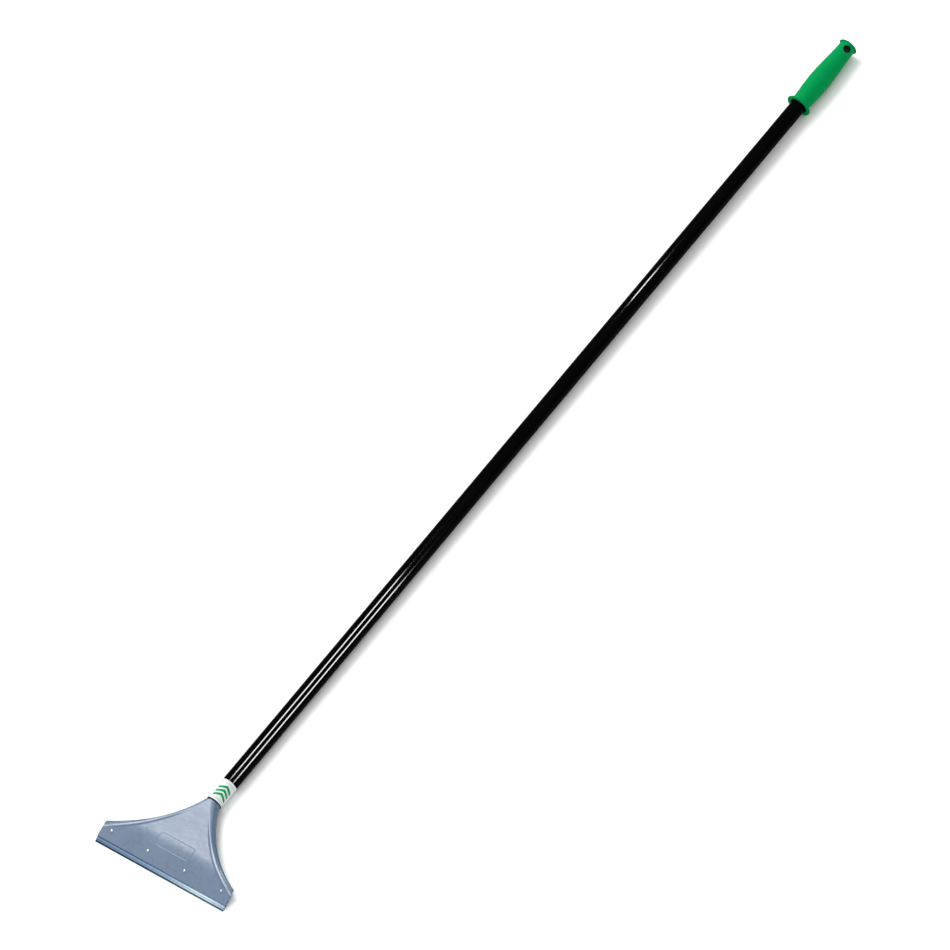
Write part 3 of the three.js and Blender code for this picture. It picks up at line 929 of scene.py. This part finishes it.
def ground_steel():
    """Hardened steel with grinding marks square to its edge, and painted shade in dark lines along its
    cutting edge, at the start of its bevel and under the pan's end.
    """
    s = Surface("ground_steel", Metallic=0.9, Specular_IOR_Level=0.5)
    marks = s.noise(0.0012, 3, (12, 0.35, 12), 0.6)
    stain = s.noise(0.03, 3)
    color = s.mix(s.remap(stain, 0.3, 0.7), (0.135, 0.225, 0.39, 1), (0.175, 0.27, 0.45, 1))
    color = s.mix(s.remap(marks, 0.4, 0.8, 0, 0.3), color, (0.28, 0.37, 0.52, 1))
    x = s.node("ShaderNodeSeparateXYZ", {0: s.place}).outputs[0]
    # Painted shade: dark lines at the cutting edge, at the bevel's start, and where the pan's end shades the
    # blade.
    lines = ((BLADE_END, 1.9 * MM, 0.97),
             (BLADE_END - BEVEL_LENGTH, 0.2 * MM, 0.5),
             (PAN_END, 0.9 * MM, 0.75))
    for at, half, depth in lines:
        painted_shade = s.line(x, (TOOL @ on_pan(at, 0, -SHEET - GAP)).x, half, 0.4 * MM, depth)
        color = s.mix(painted_shade, color, (0.012, 0.04, 0.065, 1))
    s.set(Base_Color=color, Roughness=s.remap(marks, 0.3, 0.7, 0.28, 0.42))
    s.bump(marks, 0.00002)
    return s.material


def bright_zinc():
    """Bright plated steel with small dull spots."""
    s = Surface("bright_zinc", Metallic=0.9, Specular_IOR_Level=0.5)
    spots = s.noise(0.0015, 3)
    color = s.mix(s.remap(spots, 0.35, 0.7), (0.5, 0.52, 0.55, 1), (0.32, 0.35, 0.4, 1))
    s.set(Base_Color=color, Roughness=s.remap(spots, 0.3, 0.7, 0.18, 0.34))
    s.bump(spots, 0.00003)
    return s.material


def mill_steel():
    """Dark scale of plain rolled bar, with drawing lines along it."""
    s = Surface("mill_steel", Metallic=0.8, Specular_IOR_Level=0.5)
    lines = s.noise(0.0015, 3, (25, 1, 1))
    scale = s.noise(0.008, 4)
    color = s.mix(s.remap(scale, 0.35, 0.65), (0.12, 0.125, 0.135, 1), (0.3, 0.3, 0.31, 1))
    s.set(Base_Color=color, Roughness=s.remap(lines, 0.3, 0.7, 0.38, 0.62))
    s.bump(lines, 0.00004)
    return s.material


def gloss_black():
    """Black enamel with a faint orange peel and a few dull rubs."""
    s = Surface("gloss_black", Metallic=0.0, Specular_IOR_Level=0.013)
    rubs = s.noise(0.02, 4, (5, 1, 1), 0.6)
    peel = s.noise(0.0016, 1)
    color = s.mix(s.remap(rubs, 0.4, 0.8), (0.00002, 0.00002, 0.00002, 1), (0.00005, 0.00005, 0.00007, 1))
    s.set(Base_Color=color, Roughness=s.remap(rubs, 0.35, 0.75, 0.05, 0.09))
    s.bump(peel, 0.000001)
    return s.material


def printed_film():
    """White film with a thin grey line near each end and an overlap seam underneath."""
    s = Surface("printed_film_white", Metallic=0.0, Specular_IOR_Level=0.5)
    x, y, z = s.from_tool()
    low_line = s.line(x, FILM_START + 3.4 * MM, 0.3 * MM, 0.2 * MM, 0.55)
    high_line = s.line(x, FILM_START + FILM_LENGTH - 4.2 * MM, 0.3 * MM, 0.2 * MM, 0.55)
    seam = s.math("MULTIPLY", s.line(y, 0, 0.2 * MM, 0.2 * MM, 0.5), s.remap(z, 0, -MM))
    smudge = s.noise(0.012, 3)
    color = s.mix(s.remap(smudge, 0.4, 0.75), (0.7, 0.73, 0.73, 1), (0.62, 0.66, 0.67, 1))
    marks = s.math("MAXIMUM", s.math("MAXIMUM", low_line, high_line), seam)
    color = s.mix(marks, color, (0.24, 0.26, 0.26, 1))
    s.set(Base_Color=color, Roughness=s.remap(smudge, 0.3, 0.7, 0.3, 0.5))
    s.bump(s.noise(0.005, 2), 0.00005)
    return s.material


def green_ink():
    """Printed green, a little thin in places."""
    s = Surface("green_ink", Metallic=0.0, Specular_IOR_Level=0.15)
    thin = s.noise(0.002, 3)
    color = s.mix(s.remap(thin, 0.45, 0.8), (0.001, 0.26, 0.08, 1), (0.004, 0.34, 0.12, 1))
    s.set(Base_Color=color, Roughness=s.remap(thin, 0.3, 0.7, 0.35, 0.5))
    return s.material


def hole_distance(s):
    """How far a point of the grip is from the axis of its hanging hole, on the surface `s`."""
    middle = TOOL @ Vector((HANG_HOLE_AT, 0, 0))
    axis = TOOL.to_3x3() @ Vector((0, -math.sin(HANG_HOLE_TURN), math.cos(HANG_HOLE_TURN)))
    from_middle = s.node("ShaderNodeVectorMath", {0: s.place, 1: middle}, operation="SUBTRACT")
    crossed = s.node("ShaderNodeVectorMath", {0: from_middle.outputs[0], 1: axis}, operation="CROSS_PRODUCT")
    length = s.node("ShaderNodeVectorMath", {0: crossed.outputs[0]}, operation="LENGTH")
    return length.outputs["Value"]


def moulded_green():
    """Green moulded plastic with a fine grain, flow marks, lighter edges that are partly scuffs and partly
    painted highlight, and painted shade inside the hanging hole.
    """
    s = Surface("moulded_green", Metallic=0.0, Specular_IOR_Level=0.02)
    flow = s.noise(0.03, 3, (2.5, 1, 1))
    scuff = s.noise(0.004, 4, roughness=0.65)
    grain = s.noise(0.0007, 1)
    color = s.mix(s.remap(flow, 0.3, 0.7), (0.0002, 0.23, 0.06, 1), (0.0003, 0.26, 0.07, 1))
    color = s.mix(s.remap(scuff, 0.6, 0.85, 0, 0.4), color, (0.0005, 0.29, 0.082, 1))
    # Edges made lighter: partly scuffs, partly a painted highlight along the rims.
    wear_and_highlight = s.math("MULTIPLY", s.edges(0.53, 0.65), s.remap(scuff, 0.35, 0.6, 0.1, 0.6))
    color = s.mix(wear_and_highlight, color, (0.004, 0.44, 0.17, 1))
    # Painted shade: the inside of the hanging hole painted near black.
    color = s.mix(s.remap(hole_distance(s), HANG_HOLE_RADIUS, HANG_HOLE_RADIUS + 0.5 * MM, 0.97, 0),
                  color, (0.0005, 0.004, 0.0015, 1))
    s.set(Base_Color=color, Roughness=s.remap(scuff, 0.3, 0.75, 0.42, 0.6))
    s.bump(flow, 0.0002)
    s.bump(grain, 0.000025)
    return s.material


# ---------------------------------------------------------------- studio
def direction(azimuth, elevation):
    """The unit vector towards a place in the sky, from angles in degrees."""
    a, e = math.radians(azimuth), math.radians(elevation)
    return Vector((math.cos(e) * math.cos(a), math.cos(e) * math.sin(a), math.sin(e)))


def make_card(name, place, toward, size, radiance, color=(1, 1, 1)):
    """A rectangular light that shines away from the direction `toward`."""
    light = bpy.data.lights.new(name, "AREA")
    light.shape = "RECTANGLE"
    light.size, light.size_y = size
    light.energy = math.pi * light.size * light.size_y * radiance
    light.color = color
    card = bpy.data.objects.new(name, light)
    card.location = place
    card.rotation_mode = "QUATERNION"
    card.rotation_quaternion = toward.to_track_quat("Z", "Y")
    bpy.context.scene.collection.objects.link(card)
    return card


def align(card, along, back):
    """Turns a card so that its first side runs along one direction and it shines away from another."""
    card.rotation_quaternion = Matrix((along, back.cross(along), back)).transposed().to_quaternion()


def light_only(card, piece, state="INCLUDE"):
    """Makes a card light one piece only, or with EXCLUDE everything but that piece."""
    receivers = bpy.data.collections.new(card.name + "_receivers")
    receivers.objects.link(piece)
    receivers.collection_objects[0].light_linking.link_state = state
    card.light_linking.receiver_collection = receivers


def make_key():
    """The large soft light that the pan's upper part mirrors."""
    toward = direction(KEY_AZIMUTH, KEY_ELEVATION)
    size = 2 * KEY_DISTANCE * math.tan(KEY_HALF_ANGLE)
    return make_card("key", toward * KEY_DISTANCE, toward, (size, size), KEY_RADIANCE)


def camera_place():
    """Where the camera stands."""
    return CAMERA_TARGET + direction(CAMERA_AZIMUTH, CAMERA_ELEVATION) * CAMERA_DISTANCE


def mirrored(place, normal):
    """The direction in which the camera sees the room mirrored at a place."""
    return (place - camera_place()).normalized().reflect(normal.normalized())


def make_tube_strip(name, line, offset, tube_piece):
    """A strip light that the tube mirrors as a thin line."""
    ends = []
    for along in line:
        axis_point = TOOL @ Vector((along, 0, 0))
        view = (axis_point - camera_place()).normalized()
        facing = -Vector((0, view.y, view.z)).normalized()
        aside = Vector((1, 0, 0)).cross(facing)
        normal = facing * math.sqrt(1 - offset * offset) + aside * offset
        place = axis_point + normal * TUBE_RADIUS
        ends.append(place + mirrored(place, normal) * STRIP_DISTANCE)
    middle = (ends[0] + ends[1]) / 2
    along = (ends[1] - ends[0]).normalized()
    back = middle - TOOL @ Vector((sum(line) / 2, 0, 0))
    back = (back - along * back.dot(along)).normalized()
    size = ((ends[1] - ends[0]).length, STRIP_WIDTH)
    strip = make_card(name, middle, back, size, STRIP_RADIANCE)
    align(strip, along, back)
    light_only(strip, tube_piece)


def make_blade_card(blade_piece):
    """A small warm light that brightens the blade towards its near end."""
    place = TOOL @ on_pan(BLADE_END, CARD_PLACE, 0)
    toward = mirrored(place, TOOL.to_3x3() @ Vector((-math.sin(BLADE_TILT), 0, math.cos(BLADE_TILT))))
    along = Vector((0, 1, 0))
    along = (along - toward * along.dot(toward)).normalized()
    middle = place + toward * CARD_DISTANCE
    card = make_card("blade_card", middle, toward, CARD_SIZE, CARD_RADIANCE, CARD_COLOR)
    align(card, along, toward)
    light_only(card, blade_piece)


def make_world():
    """A white room that is bright overhead and dimmer towards the horizon."""
    world = bpy.data.worlds.new("studio")
    world.use_nodes = True
    nodes, links = world.node_tree.nodes, world.node_tree.links
    place = nodes.new("ShaderNodeTexCoord")
    split = nodes.new("ShaderNodeSeparateXYZ")
    height = nodes.new("ShaderNodeMapRange")
    links.new(place.outputs["Generated"], split.inputs[0])
    links.new(split.outputs["Z"], height.inputs["Value"])
    height.interpolation_type = "SMOOTHSTEP"
    height.inputs["From Min"].default_value = HORIZON_HEIGHT
    height.inputs["From Max"].default_value = SKY_HEIGHT
    height.inputs["To Min"].default_value = HORIZON_RADIANCE
    height.inputs["To Max"].default_value = SKY_RADIANCE
    background = nodes["Background"]
    background.inputs["Color"].default_value = (1, 1, 1, 1)
    links.new(height.outputs[0], background.inputs["Strength"])
    bpy.context.scene.world = world


def make_floor():
    """A pale, matt sheet under the whole scene."""
    count = FLOOR_STEPS + 1
    places = [FLOOR_SIDE * (i / FLOOR_STEPS - 0.5) for i in range(count)]
    points = [(x, y, 0) for x in places for y in places]
    faces = []
    for i in range(FLOOR_STEPS):
        for j in range(FLOOR_STEPS):
            a = i * count + j
            faces.append((a, a + count, a + count + 1, a + 1))
    floor = make_object("floor", points, faces)
    s = Surface("pale_floor", Metallic=0.0, Specular_IOR_Level=0.0, Roughness=0.9)
    tone = s.remap(s.noise(0.8, 2), 0.3, 0.7)
    s.set(Base_Color=s.mix(tone, (0.93, 0.93, 0.93, 1), (0.95, 0.95, 0.95, 1)))
    floor.data.materials.append(s.material)


def make_camera():
    """A long lens that looks down on the tool from beyond its blade, rolled to a diagonal."""
    camera = bpy.data.cameras.new("camera")
    camera.lens = CAMERA_LENS
    camera.sensor_width = CAMERA_SENSOR
    camera.clip_start = 0.1
    camera.clip_end = 100
    made = bpy.data.objects.new("camera", camera)
    back = direction(CAMERA_AZIMUTH, CAMERA_ELEVATION)
    made.location = camera_place()
    made.rotation_mode = "QUATERNION"
    made.rotation_quaternion = back.to_track_quat("Z", "Y") @ Quaternion((0, 0, 1), CAMERA_ROLL)
    bpy.context.scene.collection.objects.link(made)
    bpy.context.scene.camera = made


# ---------------------------------------------------------------- scene
make_camera()

zinc = bright_zinc()
make_pan(pan_enamel())
blade_piece = make_blade(ground_steel())
for number, offset in enumerate(rivet_offsets(), 1):
    make_rivet(number, offset, zinc)
    make_washer(number, offset, zinc)
make_tang(mill_steel())
make_pin(zinc)
tube_piece = make_tube(gloss_black())
make_film(printed_film())
ink = green_ink()
for number in range(CHEVRON_COUNT):
    make_chevron(number, ink)
make_grip(moulded_green())

make_world()
make_floor()
light_only(make_key(), tube_piece, "EXCLUDE")
make_tube_strip("strip_high", LONG_LINE, HIGH_OFFSET, tube_piece)
make_tube_strip("strip_low", LONG_LINE, LOW_OFFSET, tube_piece)
make_tube_strip("strip_short", SHORT_LINE, SHORT_OFFSET, tube_piece)
make_blade_card(blade_piece)
bpy.context.scene.view_settings.view_transform = "Standard"
